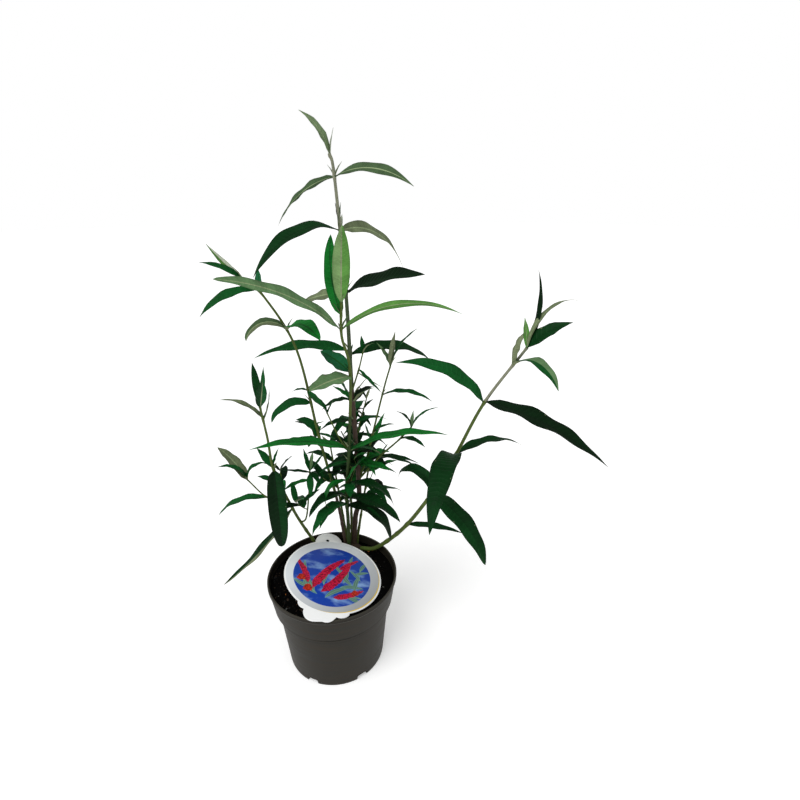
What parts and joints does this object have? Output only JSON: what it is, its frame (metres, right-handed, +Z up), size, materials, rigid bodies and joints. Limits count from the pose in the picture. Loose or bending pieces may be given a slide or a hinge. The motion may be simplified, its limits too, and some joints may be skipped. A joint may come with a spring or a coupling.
{
  "type": "potted butterfly bush",
  "caption": "Young butterfly bush with long drooping lance-shaped leaves, standing in a round grey nursery pot of compost with a blank-lettered picture label.",
  "frame": {"origin": "centre of the pot's flat underside, on the floor", "axes": "+Z up along the pot's axis; +Y towards the back; +X to the right as seen from the front, where the picture label faces"},
  "size_m": [0.4293, 0.2938, 0.6731],
  "materials": {
    "pot_plastic": "dark warm grey, matt, moulded",
    "compost": "dark, moist, crumbly",
    "label_card": "printed, satin",
    "bark": "brown young bark, rough",
    "green_stem": "green to brown stem, dull",
    "leaf": "deep green above, felted grey-olive beneath"
  },
  "bodies": {
    "root": {"pot": "pot_plastic", "compost": "compost", "label": "label_card", "crown": "bark", "limb_tall": "bark", "limb_front": "green_stem", "limb_left": "green_stem", "limb_right": "green_stem", "limb_side": "green_stem", "limb_rear_left": "green_stem", "limb_rear": "green_stem", "limb_rear_right": "green_stem", "foliage_tall": "leaf", "foliage_front": "leaf", "foliage_left": "leaf", "foliage_right": "leaf", "foliage_side": "leaf", "foliage_rear_left": "leaf", "foliage_rear": "leaf", "foliage_rear_right": "leaf"}
  },
  "joints": []
}
